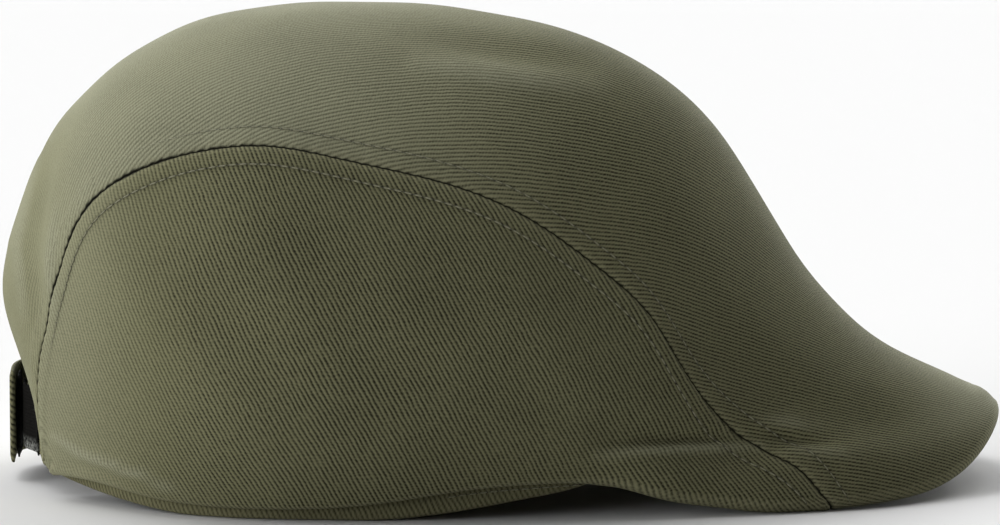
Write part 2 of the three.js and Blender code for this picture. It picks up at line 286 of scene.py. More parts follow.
# Soft folds, as lines in the side view: points, width, height (below zero is a valley).
folds = {
    "crownRidge": (((-22, 110), (0, 107), (14, 105), (26, 103)), 3.2, 1.2),
    "crownValley": (((-24, 116), (0, 113.2), (20, 109.5)), 3.0, -1.0),
    "backRidge": (((-124, 84), (-129.2, 62), (-127, 42)), 1.8, 0.9),
    "backValley": (((-120, 84), (-124.8, 60), (-122.8, 38)), 1.9, -1.2),
    "backRidgeInner": (((-119, 72), (-120.6, 56), (-119.2, 42)), 1.7, 0.8),
    "lowFold": (((-119, 10), (-112, 5.4), (-104, 2.4), (-95, -0.8), (-84, -6)), 1.3, 1.3),
    "lowFoldUnder": (((-113, 2.2), (-104, -0.9), (-95, -4.2), (-86, -8)), 1.5, -0.8),
    "sideSwell": (((-40, 48), (-10, 40), (20, 34)), 13, 0.9),
    "sideHollow": (((-90, 52), (-70, 38), (-40, 20)), 12, -0.8),
    "sideDip": (((8, 17), (20, 15), (32, 17)), 5, -0.8),
    "wingEdge": (((26, 5.4), (36, 6.6), (50, 7.2), (60, 7.4), (69, 7.4)), 1.5, 1.3),
    "wingCrease": (((27, 8.6), (36, 9.8), (50, 10.4), (60, 10.6), (67, 10.8)), 1.6, -0.7),
    "peakHollow": (((66, 30), (78, 21), (92, 16.5), (106, 15), (120, 15.5)), 6, -1.7),
    "peakFlare": (((88, 5), (100, 3.5), (112, 4)), 5, 0.8),
    "peakWrinkle": (((69, 14.6), (77, 13.8), (85, 12.2)), 1.8, 0.8),
    "peakCrease": (((67, 11), (75, 10.2), (84, 9), (93, 8.6)), 1.6, -0.9),
    "peakTip": (((127, 24), (133, 20)), 2.4, 1.4),
    "peakWrinkleUnder": (((77, 6.8), (86, 6.2), (96, 5.6)), 1.8, 0.8),
    "bunchOne": (((-111.5, -0.5), (-110, -3.5)), 0.5, -0.7),
    "bunchTwo": (((-109.3, -1.2), (-107.6, -4.2)), 0.5, -0.8),
    "bunchThree": (((-106.8, -2.2), (-105.4, -4.8)), 0.5, -0.7),
}


def foldRelief(points, widest=99):
    # height of all folds at some points, or only of the folds up to a width
    x, z = sideView(points)
    height = np.zeros(x.shape)
    for line, width, peak in folds.values():
        if width > widest:
            continue
        line = np.array(line, float)
        total = length(np.diff(line, axis=0)).sum()
        nearest = np.full(x.shape, 1e9)
        place = np.zeros(x.shape)
        gone = 0.0
        for start, end in zip(line[:-1], line[1:]):
            way = end - start
            span = math.hypot(*way)
            t = np.clip(((x - start[0]) * way[0] + (z - start[1]) * way[1]) / span ** 2, 0, 1)
            far = np.hypot(x - start[0] - t * way[0], z - start[1] - t * way[1])
            closer = far < nearest
            nearest = np.where(closer, far, nearest)
            place = np.where(closer, (gone + t * span) / total, place)
            gone += span
        height += peak * bump(nearest, width) * (0.35 + 0.65 * np.sin(np.pi * np.clip(place, 0, 1)))
    return height


def unevenness(points):
    # the gentle waviness of unlined cloth
    x, y, z = points[..., 0], points[..., 1], points[..., 2]
    return (0.22 * np.sin(x / 9.7 + 1.3 * np.sin(z / 17) + y / 31)
            * np.sin(z / 11.3 + 0.9 * np.sin(x / 23) + 0.6)
            + 0.12 * np.sin(x / 5.1 + z / 7.3 + 1.7 * np.sin(y / 19)))


sewing = {
    "lip": 0.6,          # radius of the seam's rounded lips
    "raise": 0.26,       # how much the seam allowance lifts the cloth
    "meet": 0.03,        # where each panel's rounded lip ends, from the seam
    "under": 0.12,       # how far each panel's hidden edge runs on under the other
    "tuck": 1.0,         # how much deeper that edge lies
    "rowAway": 5.7,      # distance of the topstitching from the seam
    "dip": 0.24,         # how deep the topstitching pulls in
    "pucker": 0.07,      # height of the long puckers at the seam
    "tick": 0.16,        # height of the small ones, one to a stitch
    "pitch": 2.7,        # from stitch to stitch
    "lean": 2.7,         # how far the seam leans forward round the peak's turned edge
    "leanReach": 11,     # how far along the edge that lean is felt
    # rows with stitches, and rows over which they come out of the soft back: crown (-1), sides (1)
    "rows": {-1: (0.35, 14.98), 1: (1.5, 14.6)},
    "rises": {-1: (3.6, 5.6), 1: (1.2, 2.8)},
    "hemRows": (6.9, 9.1),    # rows between which the band shows stitches
    "underHem": 1.1,          # and how far these are under the hem
}
edgeFine = np.linspace(0, lastRow + 1, 3201)
edgeRun = runOf(edgeFrame(edgeFine)[0])


def leaning(edgePlace, angle):
    # the place on the turned edge, moved forward where the seam leans
    along = np.interp(edgePlace, edgeFine, edgeRun)
    fromSeam = along - np.interp(lastRow, edgeFine, edgeRun)
    moved = sewing["lean"] * bump(fromSeam, sewing["leanReach"]) * np.sin(np.minimum(angle, np.pi / 2))
    return np.interp(along + moved, edgeRun, edgeFine)


def sewnDepth(row, side):
    # how firmly the topstitching is pulled in: it gets lost in the soft cloth round the back
    return smooth(*sewing["rises"][side], row)


def stitchBeat(along):
    # a wave from -1 to 1 with the pitch of the stitches
    return np.cos(2 * np.pi * along / sewing["pitch"])


def seamRelief(far, along, sewn):
    # height of the cloth beside the seam: the allowance under it, puckers and the topstitching's dip
    allowance = sewing["raise"] * (smooth(0.3, 1.4, far) - smooth(5.0, 7.4, far))
    pull = sewing["dip"] * bump(far - sewing["rowAway"], 0.7) * (0.7 + 0.3 * stitchBeat(along)) * sewn
    longWaves = np.sin(along / 1.15 + 1.9 * np.sin(along / 23))
    shortWaves = np.sin(along / 0.68 + 2 * np.sin(along / 14))
    puckers = sewing["pucker"] * (0.6 * longWaves + 0.4 * shortWaves) * np.exp(-far / 4.5)
    ticks = sewing["tick"] * stitchBeat(along) * np.exp(-far / 0.9)
    return allowance - pull + puckers + ticks


def seamWrinkles(far, row):
    # fine wrinkles on the crown that follow the seam round the back
    waves = 0.08 * np.sin(2 * np.pi * far / 1.7)
    return waves * bump(row - 2.6, 1.5) * smooth(0.6, 1.6, far) * (1 - smooth(5, 9, far))


def lipDrop(far):
    # how far the cloth has turned down into the seam, at a distance from it
    turned = np.maximum(sewing["lip"] - far, 0)
    return sewing["lip"] - np.sqrt(np.maximum(sewing["lip"] ** 2 - turned ** 2, 0))


seamRowsFine = np.linspace(0, lastRow, 1501)
seamRun = runOf(skinPoint(seamRowsFine, 1.0))


def seamAlong(row):
    return np.interp(row, seamRowsFine, seamRun)


def clothRelief(base, row, far, side):
    # height of the cloth over the plain skin, on the crown (-1) or a side panel (1)
    relief = seamRelief(far, seamAlong(row), sewnDepth(row, side)) + foldRelief(base) + unevenness(base)
    if side < 0:
        relief = relief + seamWrinkles(far, row)
    return relief


def seamSpeed(row, side):
    # millimetres for each unit of across, next to the seam on the crown (-1) or the side (1)
    near = 0.001
    far = 0.06
    return length(skinPoint(row, 1 + side * far) - skinPoint(row, 1 + side * near)) / (far - near)


def laidFlat(points, flat, rounds=900):
    # eases a rough flat map of a coarse grid until its threads keep their real lengths
    rows, columns = points.shape[:2]
    number = np.arange(rows * columns).reshape(rows, columns)
    pairs = ((number[1:], number[:-1]), (number[:, 1:], number[:, :-1]),
             (number[1:, 1:], number[:-1, :-1]), (number[1:, :-1], number[:-1, 1:]))
    one, other = (np.concatenate([pair[k].ravel() for pair in pairs]) for k in (0, 1))
    real = points.reshape(-1, 3)
    flat = flat.reshape(-1, 2).copy()
    span = length(real[one] - real[other])
    share = np.bincount(np.concatenate((one, other)))
    for _ in range(rounds):
        gap = flat[one] - flat[other]
        now = np.maximum(length(gap), 1e-6)
        push = gap * ((span - now) / now * 0.5)[:, None]
        move = np.zeros(flat.shape)
        np.add.at(move, one, push)
        np.add.at(move, other, -push)
        flat += move / share[:, None] * 1.6
    return flat.reshape(rows, columns, 2)


class ClothMap:
    # where each place of a panel lay on the flat cloth, from rows and across
    def __init__(self, rows, acrosses, rough):
        self.rows = (rows[0], rows[-1] - rows[0])
        self.acrosses = (acrosses[0], acrosses[-1] - acrosses[0])
        row, across = np.meshgrid(rows, acrosses, indexing="ij")
        real = archPoint(row, np.abs(across)) * joined(1, np.where(across < 0, -1, 1), 1)
        self.flat = laidFlat(real, rough(row, across))
        self.rowShares = splineThrough(np.eye(len(rows)))
        self.acrossShares = splineThrough(np.eye(len(acrosses)))

    def at(self, row, across):
        row, across = np.broadcast_arrays(np.asarray(row, float), np.asarray(across, float))
        count, wide = self.flat.shape[:2]
        down = self.rowShares((row - self.rows[0]) / self.rows[1] * (count - 1))
        over = self.acrossShares((across - self.acrosses[0]) / self.acrosses[1] * (wide - 1))
        return np.einsum("...i,...j,ijk->...k", down, over, self.flat, optimize=True)


def gridPiece(points, laid, marks):
    # a sheet from a grid of points: create_grid makes its mesh and each vertex goes to its place
    rows, columns = points.shape[:2]
    shape = bmesh.new()
    bmesh.ops.create_grid(shape, x_segments=columns - 1, y_segments=rows - 1, size=1)
    cloth = shape.loops.layers.uv.new("cloth")
    layers = {key: shape.verts.layers.float.new(key) for key in marks}
    where = {}
    for vertex in shape.verts:
        j = round((vertex.co.x + 1) / 2 * (columns - 1))
        i = round((vertex.co.y + 1) / 2 * (rows - 1))
        vertex.co = points[i, j] * metre
        where[vertex.index] = (i, j)
        for key, layer in layers.items():
            vertex[layer] = marks[key][i, j]
    for face in shape.faces:
        for loop in face.loops:
            loop[cloth].uv = laid[where[loop.vert.index]]
    return shape


def laidStraight(points, column, row):
    # a strip's places on its flat cloth: lengths along one of its columns and along one of its rows
    along = runOf(points[:, column])
    over = runOf(points[row])
    return np.stack(np.broadcast_arrays(along[:, None], over[None]), -1)


def finished(name, shape, materials, replaced=()):
    mesh = bpy.data.meshes.new(name)
    shape.normal_update()
    shape.to_mesh(mesh)
    shape.free()
    mesh.polygons.foreach_set("use_smooth", [True] * len(mesh.polygons))
    for material in materials:
        mesh.materials.append(material)
    piece = added(name, mesh)
    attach(piece, "root")
    if replaced:
        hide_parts(*replaced)
    print(name, len(mesh.polygons), "faces")
    return piece


class Wire:
    # a number in a material that can be used in sums
    def __init__(self, shade, socket):
        self.shade = shade
        self.socket = socket

    def maths(self, operation, *others):
        return self.shade.maths(operation, self, *others)

    def __add__(self, other):
        return self.maths("ADD", other)

    def __sub__(self, other):
        return self.maths("SUBTRACT", other)

    def __mul__(self, other):
        return self.maths("MULTIPLY", other)

    def __truediv__(self, other):
        return self.maths("DIVIDE", other)

    def __pow__(self, other):
        return self.maths("POWER", other)

    def __rsub__(self, other):
        return self.shade.maths("SUBTRACT", other, self)

    __radd__ = __add__
    __rmul__ = __mul__

    def wave(self):
        # 0 at whole numbers, 1 halfway between them
        return (self * math.pi).maths("SINE").maths("ABSOLUTE")

    def limited(self):
        return self.shade.node("ShaderNodeClamp", {"Value": self})


class Shade:
    # a material and the nodes it is made of
    def __init__(self, name):
        self.material = bpy.data.materials.new(name)
        self.material.use_nodes = True
        self.tree = self.material.node_tree
        self.surface = self.tree.nodes["Principled BSDF"]

    def node(self, kind, inputs, output=0, **settings):
        # one output of a new node; its inputs are wires or plain values, by name or number
        made = self.tree.nodes.new(kind)
        for key, value in settings.items():
            setattr(made, key, value)
        for key, value in inputs.items():
            if isinstance(value, Wire):
                self.tree.links.new(value.socket, made.inputs[key])
            else:
                made.inputs[key].default_value = value
        return Wire(self, made.outputs[output])

    def maths(self, operation, *values):
        return self.node("ShaderNodeMath", dict(enumerate(values)), operation=operation)

    def mixed(self, share, first, second):
        # of two colours; the numbers are the mix node's sockets for a share and for colours
        return self.node("ShaderNodeMix", {0: share, 6: first, 7: second}, 2, data_type="RGBA")

    def noise(self, place, scale, detail=2.0, rough=0.5):
        inputs = {"Vector": place, "Scale": scale, "Detail": detail, "Roughness": rough}
        return self.node("ShaderNodeTexNoise", inputs, "Fac")

    def objectPlace(self):
        return self.node("ShaderNodeTexCoord", {}, "Object")

    def part(self, place, axis):
        return self.node("ShaderNodeSeparateXYZ", {0: place}, axis)

    def clothPlace(self):
        spread = self.node("ShaderNodeUVMap", {}, "UV", uv_map="cloth")
        return self.part(spread, "X"), self.part(spread, "Y")

    def mark(self, name):
        return self.node("ShaderNodeAttribute", {}, "Fac", attribute_name=name)

    def plain(self, values):
        for key, value in values.items():
            self.surface.inputs[key].default_value = value

    def finish(self, colour, roughness, height, depth, values):
        relief = self.node("ShaderNodeBump", {"Height": height, "Distance": depth, "Strength": 1.0})
        links = self.tree.links
        links.new(colour.socket, self.surface.inputs["Base Color"])
        links.new(roughness.socket, self.surface.inputs["Roughness"])
        links.new(relief.socket, self.surface.inputs["Normal"])
        self.plain(values)
        return self.material


def linear(red, green, blue):
    # a screen colour of 0 to 255 as the values that a material takes
    def one(value):
        value /= 255
        return value / 12.92 if value <= 0.04045 else ((value + 0.055) / 1.055) ** 2.4
    return (one(red), one(green), one(blue), 1)


twillLook = {
    "pitch": 1.12,       # from rib to rib, mm
    "float": 0.9,        # from one dip to the next along a rib, mm
    "cut": 1.05,         # how deep the grooves between the ribs are
    "depth": 0.00015,    # height of the relief, m
    "wander": 0.3,       # how unevenly the ribs run
    "mottle": 0.3,       # how much lighter and darker patches differ
    "lighter": 0.88,     # raises the tone of the ribs against the dips
    # faded: the lighter colour, for sun-faded cloth and for painted light where the light falls
    "rib": linear(118, 117, 88), "fadedAndLit": linear(138, 138, 114), "worn": linear(140, 138, 110),
    # dip: the grooves' colour, their own darker tone with painted shade; seam: painted shade in the seam's
    # groove
    "dip": linear(34, 32, 20), "seam": linear(22, 21, 13), "sheenTint": linear(190, 195, 165),
    "roughness": 0.93, "sheen": 0.08, "shine": 0.15,
}


def twillMaterial(name, lean, look, marked=True):
    # cotton twill: slanted ribs, the grooves between them broken up by the floats that cross them
    shade = Shade(name)
    here = shade.objectPlace()
    x, y = shade.clothPlace()
    turn = math.radians(lean)
    bend = (shade.noise(here, 70.0, 2.0) - 0.5) * 0.9
    drift = bend + (shade.noise(here, 520.0, 1.0) - 0.5) * look["wander"]
    acrossRibs = y * (math.cos(turn) / look["pitch"]) - x * (math.sin(turn) / look["pitch"]) + drift
    alongRibs = x * (math.cos(turn) / look["float"]) + y * (math.sin(turn) / look["float"])
    alongRibs = alongRibs + shade.noise(here, 310.0, 1.0) * 2
    grooveShade = 1 - acrossRibs.wave() ** 1.5
    crossing = (alongRibs + (acrossRibs + 0.5).maths("FLOOR") * 0.37).wave()
    floats = (alongRibs + acrossRibs.maths("FLOOR") * 0.37 + 0.2).wave()
    fuzz = shade.noise(here, 1500.0, 2.0, 0.65) - 0.5
    yarns = shade.noise(here, 640.0, 1.0) - 0.5
    dip = grooveShade * (0.5 + 0.5 * crossing + yarns) * look["cut"]
    if marked:
        fadeAndLight = shade.mark("fadeAndLight").limited()
        # the grooves' painted shade and relief are weaker towards the back and where the cloth is painted
        # lighter
        dip = dip * (1 - shade.mark("soft").limited())
    height = floats * 0.16 + fuzz * 0.5 + yarns * 0.3 - dip
    mottle = (shade.noise(here, 38.0, 3.0) - 0.5) * look["mottle"]
    tone = (height + (mottle + look["lighter"])).limited()
    colour = look["rib"]
    if marked:
        colour = shade.mixed(fadeAndLight, look["rib"], look["fadedAndLit"])
    # the grooves take the dark dip colour: painted shade in them over the weave's own tone
    colour = shade.mixed(tone, look["dip"], colour)
    if marked:
        worn = (shade.mark("wear") * (0.4 + fuzz * 1.4)).limited()
        colour = shade.mixed(worn, colour, look["worn"])
        # painted shade in the seam's groove and in the topstitching's dip
        colour = shade.mixed(shade.mark("grooveShade").limited(), colour, look["seam"])
    roughness = look["roughness"] - height * 0.05
    return shade.finish(colour, roughness, height, look["depth"],
                        {"Sheen Weight": look["sheen"], "Sheen Roughness": 0.5,
                         "Sheen Tint": look["sheenTint"], "Specular IOR Level": look["shine"]})


topTwill = twillMaterial("top_twill", 14, twillLook)
rightTwill = twillMaterial("right_side_twill", -62, twillLook)
leftTwill = twillMaterial("left_side_twill", 62, twillLook)
innerLook = dict(twillLook, cut=0.75, rib=linear(114, 112, 84))
innerTwill = twillMaterial("inner_twill", 34, innerLook, False)
bandTwill = twillMaterial("band_twill", 58, innerLook, False)
print("cloth materials made")


def panelFields(points, rolls, row, across, distance, past):
    # what is known of each place of a panel's grid; a turned edge carries on what lies at the edge
    return {
        "points": points,
        "row": np.pad(row, rolls, "edge"),
        "across": np.pad(across, rolls, "edge"),
        "away": np.pad(distance, rolls, "edge"),
        "onRoll": np.pad(np.zeros(row.shape), rolls, constant_values=1),
        "past": np.broadcast_to(past, points.shape[:2]),
    }


def marksOf(panel, fadeAndLight, side):
    # lighter where sun-faded and, as painted light, where the light falls; paler on fold crests; worn
    # beside the seam; painted shade in the seam's groove and the stitch rows
    distance = panel["away"]
    along = seamAlong(panel["row"])
    fadedAndLit = np.clip(fadeAndLight + 0.7 * np.clip(foldRelief(panel["points"], 4), 0, 1.2), 0, 1)
    lip = bump(distance - 1.1, 0.7)
    # the painted shade of the seam's groove is widest round the upper back and paler at its lower end
    line = 0.18 + 0.07 * stitchBeat(along) + 0.03 * np.sin(along / 0.61 + np.sin(along / 5.3))
    line = line + bump(along - 72, 42) * (0.24 + 0.1 * np.sin(along / 1.9 + np.sin(along / 3.7)))
    paler = smooth(46, 20, along) * (0.35 + 0.25 * np.sin(along / 1.3 + 2 * np.sin(along / 3.1)))
    # painted shade in the topstitching's dip, where the stitches pull the cloth in
    stitchRowShade = bump(distance - sewing["rowAway"], 0.5) * (1 - panel["onRoll"])
    sewn = 0.35 * sewnDepth(panel["row"], side) * stitchRowShade
    return {
        "fadeAndLight": fadedAndLit,
        "wear": np.clip(0.4 * lip + 0.5 * panel["onRoll"], 0, 1),
        # soft: weakens the grooves' painted shade and relief towards the back and with the painted light
        "soft": np.maximum(0.6 * smooth(-62, -118, panel["points"][..., 0]), 0.5 * fadedAndLit),
        "grooveShade": (1 - paler) * np.maximum(1 - smooth(line * 0.7, line * 1.9, distance), sewn),
    }


def panelPiece(name, points, laid, marks, cut, twill, node):
    # a sheet turned away from the cap's inside and given its wall
    shape = gridPiece(points, laid, marks)
    shape.normal_update()
    total = 0
    for face in shape.faces:
        total += (face.calc_center_median() - Vector(cut["inside"])).dot(face.normal) * face.calc_area()
    if total < 0:
        bmesh.ops.reverse_faces(shape, faces=shape.faces)
    piece = finished(name, shape, [twill, innerTwill], [node])
    layer = piece.modifiers.new("wall", "SOLIDIFY")
    layer.thickness = cut["wall"] * metre
    layer.offset = -1
    layer.material_offset = 1     # the inner face and the cut edges take the second material
    layer.material_offset_rim = 1
    layer.use_even_offset = False


def bothSides(half, mirror=1):
    # a grid of the left half and, before it, the same for the right half, times mirror
    return np.concatenate((half[:, :0:-1] * mirror, half), 1)


# top panel
topCut = {
    "middleColumns": 20, "edgeColumns": 19, "rowSteps": 30, "frontSteps": 11, "backSteps": 8,
    "edgeWidth": 12.0,   # width of the finer columns beside the seam
    "backRoll": 1.3,     # radius of the back opening's turned edge
    "backTurn": 170,     # and how far round it goes, degrees
    "wall": 1.2,
    "inside": (0, 0, 0.03),    # a point inside the cap, m
    # slope added to the ribs' lie, for each row from the back to the peak's front
    "grainTurn": (0, 0, 0, 0, 0, 0, 0, 0, 0.05, 0.2, 0.38, 0.46, 0.46, 0.44, 0.46, 0.4),
}


def topGrid():
    middle = topCut["middleColumns"]
    edge = topCut["edgeColumns"]
    k = np.arange(middle + edge + 2)
    shareIn = np.clip(k / middle, 0, 1)
    far = topCut["edgeWidth"] * np.clip(1 - (k - middle) / edge, 0, 1) ** columnsCrowd
    far[-2:] = (sewing["meet"], -sewing["under"])
    rows = np.linspace(0, lastRow, lastRow * topCut["rowSteps"] + 1)
    speed = seamSpeed(rows, -1)[:, None]
    row, kk = np.meshgrid(rows, k, indexing="ij")
    middleAcross = shareIn[kk] * (1 - topCut["edgeWidth"] / speed)
    across = np.where(kk > middle, 1 - far[kk] / speed, middleAcross)
    distance = (1 - across) * speed
    drop = lipDrop(distance) + sewing["tuck"] * (kk == k[-1])
    base = skinPoint(row, across)
    normal = normalOf(skinPoint, row, across)
    relief = clothRelief(base, row, distance, -1) * smooth(0, 1.0, lastRow - row + 0.35)
    body = base + normal * (relief - drop)[..., None]
    # turned edge of the back opening
    outward = unit(base[0] - skinPoint(0.03, across[0]))
    radius = topCut["backRoll"]
    backAngles = np.radians(np.linspace(topCut["backTurn"], 0, topCut["backSteps"] + 1))[:-1, None]
    depth = np.minimum(drop[0], radius * 0.8)[:, None]
    turned = normal[0] * np.cos(backAngles)[..., None] + outward * np.sin(backAngles)[..., None]
    back = base[0] + normal[0] * (relief[0] - radius)[:, None] + (radius - depth) * turned
    # turned front edge of the peak
    frontAngles = np.radians(np.linspace(0, rollTurn, topCut["frontSteps"] + 1))[1:, None]
    frontEdge = edgeFrame(leaning(lastRow + 1 - across[-1], frontAngles))
    front = rollPoint(frontEdge, frontAngles, np.minimum(drop[-1], 2.0))
    front = front + normal[-1] * (relief[-1] * np.maximum(np.cos(frontAngles), 0))[..., None]
    past = np.concatenate((-radius * backAngles, np.zeros((len(rows), 1)), peakRoll * frontAngles))
    rolls = ((len(back), len(front)), (0, 0))
    return panelFields(np.concatenate((back, body, front)), rolls, row, across, distance, past)


crestRows = np.linspace(0, lastRow, 301)
crestRun = runOf(archPoint(crestRows, 0.0))


def roughTop(row, across):
    crest = archPoint(row, 0.0)
    seam = archPoint(row, 1.0)
    back = (seam[..., 0] - crest[..., 0]) * np.abs(across)
    along = np.interp(row, crestRows, crestRun) + back * 0.6
    return np.stack((along, across * length(seam - crest) * 1.05), -1)


topPanel = topGrid()
topX = topPanel["points"][..., 0]
topZ = topPanel["points"][..., 2]
# painted light, partly sun fading: the crown is lighter higher up and towards the back, where the light
# falls, less so at the steep back end, and lighter again at the peak's tip
topFadeAndLight = smooth(20, 120, topZ * 0.55 - topX * 0.85) - 0.7 * smooth(-104, -126, topX)
topFadeAndLight = topFadeAndLight + 0.9 * smooth(98, 128, topX) * smooth(10, 22, topZ)
topMarks = marksOf(topPanel, topFadeAndLight, -1)
topMap = ClothMap(np.linspace(0, lastRow, 31), np.linspace(-1, 1, 17), roughTop)
topRow = bothSides(topPanel["row"])
topAcross = bothSides(topPanel["across"], -1)
topLaid = topMap.at(topRow, topAcross)
ahead = unit(topMap.at(topRow + 0.05, topAcross) - topMap.at(topRow - 0.05, topAcross))
topLaid += ahead * bothSides(topPanel["past"])[..., None]
crestLaid = topMap.at(crestRows, 0.0)[:, 0]
grainTurn = splineThrough(topCut["grainTurn"])(crestRows)
grainSteps = (grainTurn[1:] + grainTurn[:-1]) / 2 * np.diff(crestLaid)
topLaid[..., 1] -= np.interp(topLaid[..., 0], crestLaid, np.concatenate(([0], np.cumsum(grainSteps))))
topMarks = {name: bothSides(values) for name, values in topMarks.items()}
topPoints = bothSides(topPanel["points"], np.array((1, -1, 1)))
panelPiece("top_panel_cloth", topPoints, topLaid, topMarks, topCut, topTwill, "top_panel")


# side panels
sideCut = {
    "middleColumns": 24, "edgeColumns": 18, "rollColumns": 8, "rowSteps": 30,
    "edgeWidth": 12.0, "wall": 1.2, "inside": (-0.02, 0, 0.03),
}


def sideGrid():
    edge = sideCut["edgeColumns"]
    middle = sideCut["middleColumns"]
    rows = np.linspace(sideStart, sideEnd, int((sideEnd - sideStart) * sideCut["rowSteps"]) + 1)
    speed = seamSpeed(rows, 1)[:, None]
    k = np.arange(edge + middle + 2)
    shareOut = np.clip((k - 1) / edge, 0, 1) ** columnsCrowd
    shareMid = np.clip((k - 1 - edge) / middle, 0, 1)
    row, kk = np.meshgrid(rows, k, indexing="ij")
    hidden = kk == 0
    start = 1 + sewing["meet"] / speed
    edgeAcross = np.minimum(sideCut["edgeWidth"], 0.45 * speed) / speed
    across = start + shareOut[kk] * edgeAcross - hidden * (sewing["meet"] + sewing["under"]) / speed
    across = across + shareMid[kk] * (2 - start - edgeAcross)
    distance = (across - 1) * speed
    drop = lipDrop(distance) + sewing["tuck"] * hidden
    base = skinPoint(row, across)
    normal = normalOf(skinPoint, row, across)
    relief = clothRelief(base, row, distance, 1) * smooth(0, 0.12, 2 - across + 0.02)
    body = base + normal * (relief - drop)[..., None]
    # turned edge of the hem
    angles = np.radians(np.linspace(0, rollTurn, sideCut["rollColumns"] + 1))[None, 1:]
    roll = rollPoint(edgeFrame(leaning(rows[:, None], angles)), angles, 0.0)
    past = np.concatenate((np.zeros(len(k)), hemRoll * angles[0]))
    rolls = ((0, 0), (0, angles.size))
    return panelFields(np.concatenate((body, roll), 1), rolls, row, across, distance, past)


def roughSide(row, across):
    point = archPoint(row, across)
    return np.stack((point[..., 0], point[..., 2] * 1.15), -1)


sidePanel = sideGrid()
sideMap = ClothMap(np.linspace(0, lastRow, 31), np.linspace(1, 2, 9), roughSide)
sideLaid = sideMap.at(sidePanel["row"], sidePanel["across"])
down = unit(sideLaid - sideMap.at(sidePanel["row"], sidePanel["across"] - 0.03))
sideLaid += down * sidePanel["past"][..., None]
# painted light, partly sun fading: the sides are lighter towards the back, where the light falls
sideMarks = marksOf(sidePanel, 0.6 * smooth(-85, -120, sidePanel["points"][..., 0]), 1)
for sideName, toSide, twill, node in (("side_right_cloth", -1, rightTwill, "side_panel_right"),
                                      ("side_left_cloth", 1, leftTwill, "side_panel_left")):
    sidePoints = sidePanel["points"] * np.array((1, toSide, 1))
    panelPiece(sideName, sidePoints, sideLaid, sideMarks, sideCut, twill, node)


# inner band: a folded strip, its lower fold in view under the hem
bandCut = {
    "wall": 1.8, "around": 240, "columns": 8,
    "fold": 0.04,        # where the fold begins, as a share of the band's height
    "foldDeep": 0.035,   # how far the fold reaches below that
}
bandLast = len(bandRows) - 1


def bandFoot(row):
    return np.maximum(band["z"](row) - bandSettle, 0)


def bandPoint(around, up, depth):
    # around runs from the right back end (-1) over the front (0) to the left back end (1)
    row = bandLast * (1 - np.abs(around))
    aheadX = band["x"](row + 0.01) - band["x"](row - 0.01)
    aheadY = band["y"](row + 0.01) - band["y"](row - 0.01)
    inward = unit(joined(aheadY, -aheadX, 0))
    leaned = depth + up * band["inward"](row)
    point = joined(band["x"](row), band["y"](row), 0) + inward * leaned[..., None]
    point[..., 2] = bandFoot(row) + up * band["height"](row)
    point[..., 1] *= np.where(around < 0, -1, 1)
    return point


def bandGrid():
    # down the outer face, round the fold, up the inner face and over the top
    half = bandCut["wall"] / 2
    columns = bandCut["columns"]
    turns = np.radians(np.linspace(0, 180, 7))[1:-1]
    ups = np.linspace(1, bandCut["fold"], columns)
    inFold = half - half * np.cos(turns)
    depths = np.concatenate((np.zeros(columns), inFold, np.full(columns, 2 * half), [half]))
    under = bandCut["fold"] - bandCut["foldDeep"] * np.sin(turns)
    heights = np.concatenate((ups, under, ups[::-1], [1.02]))
    arounds = np.linspace(-1, 1, bandCut["around"] + 1)
    around, k = np.meshgrid(arounds, np.arange(len(depths) + 1) % len(depths), indexing="ij")
    return bandPoint(around, heights[k], depths[k])


bandPoints = bandGrid()
bandShape = gridPiece(bandPoints, laidStraight(bandPoints, 0, bandCut["around"] // 2), {})
bmesh.ops.remove_doubles(bandShape, verts=bandShape.verts, dist=1e-6)
bmesh.ops.holes_fill(bandShape, edges=[edge for edge in bandShape.edges if edge.is_boundary])
bmesh.ops.recalc_face_normals(bandShape, faces=bandShape.faces)
finished("band_cloth", bandShape, [bandTwill], ["band"])


# the peak's board in its cloth, seen from below
boardCut = {
    "corner": 10.5,      # place on the turned edge where the board begins
    "backGap": 0.4,      # from the board's back edge to the band
    "half": 1.0,         # half its thickness
    "dip": 0.03,         # slope at the edge
    "bandFront": 9.2 / bandLast,    # place on the band where its corner lies
    "rows": 60, "columns": 26,
}


def boardMiddle(edgePlace, inwardShare):
    point, normal, outward, radius = edgeFrame(edgePlace)
    edge = point - normal * radius[..., None]
    share = (edgePlace - boardCut["corner"]) / (lastRow + 1 - boardCut["corner"])
    around = (1 - boardCut["bandFront"]) * (1 - share)
    back = bandPoint(around, bandCut["fold"], -boardCut["backGap"] - boardCut["half"])
    reach = length(edge - back)[..., None]
    leave = (outward + normal * boardCut["dip"]) * -0.8 * reach
    return hermite(edge, leave, back, (back - edge) * 0.9, inwardShare)


places = np.linspace(boardCut["corner"], lastRow + 1, boardCut["rows"])
shares = np.linspace(0, 1, boardCut["columns"])
boardHalf = boardMiddle(*np.meshgrid(places, shares, indexing="ij"))
boardMirror = boardHalf[:-1] * np.array((1, -1, 1))
boardPoints = np.concatenate((boardHalf, boardMirror[::-1]))
boardShape = gridPiece(boardPoints, boardPoints[..., [1, 0]], {})
bmesh.ops.recalc_face_normals(boardShape, faces=boardShape.faces)
boardPiece = finished("peak_cloth", boardShape, [bandTwill], ["peak"])
boardLayer = boardPiece.modifiers.new("board", "SOLIDIFY")
boardLayer.thickness = 2 * boardCut["half"] * metre
boardLayer.offset = 0


# strap, its tab and the two tapes
strapCut = {
    "path": ((-130.4, -12), (-130.9, -4), (-130.8, 4), (-129.2, 11.5), (-125.2, 18),
             (-121.1, 26), (-119.8, 35.4)),
    "tabPath": ((-126.2, -4), (-125.8, -11), (-124, -17.5), (-121.2, -24), (-121, -32)),
    "wall": 1.6, "bottom": 4.6, "top": 29, "tabBottom": 9, "tabTop": 26, "tapeWall": 0.9, "gap": 0.3,
    "steps": 80, "columns": 15,
}


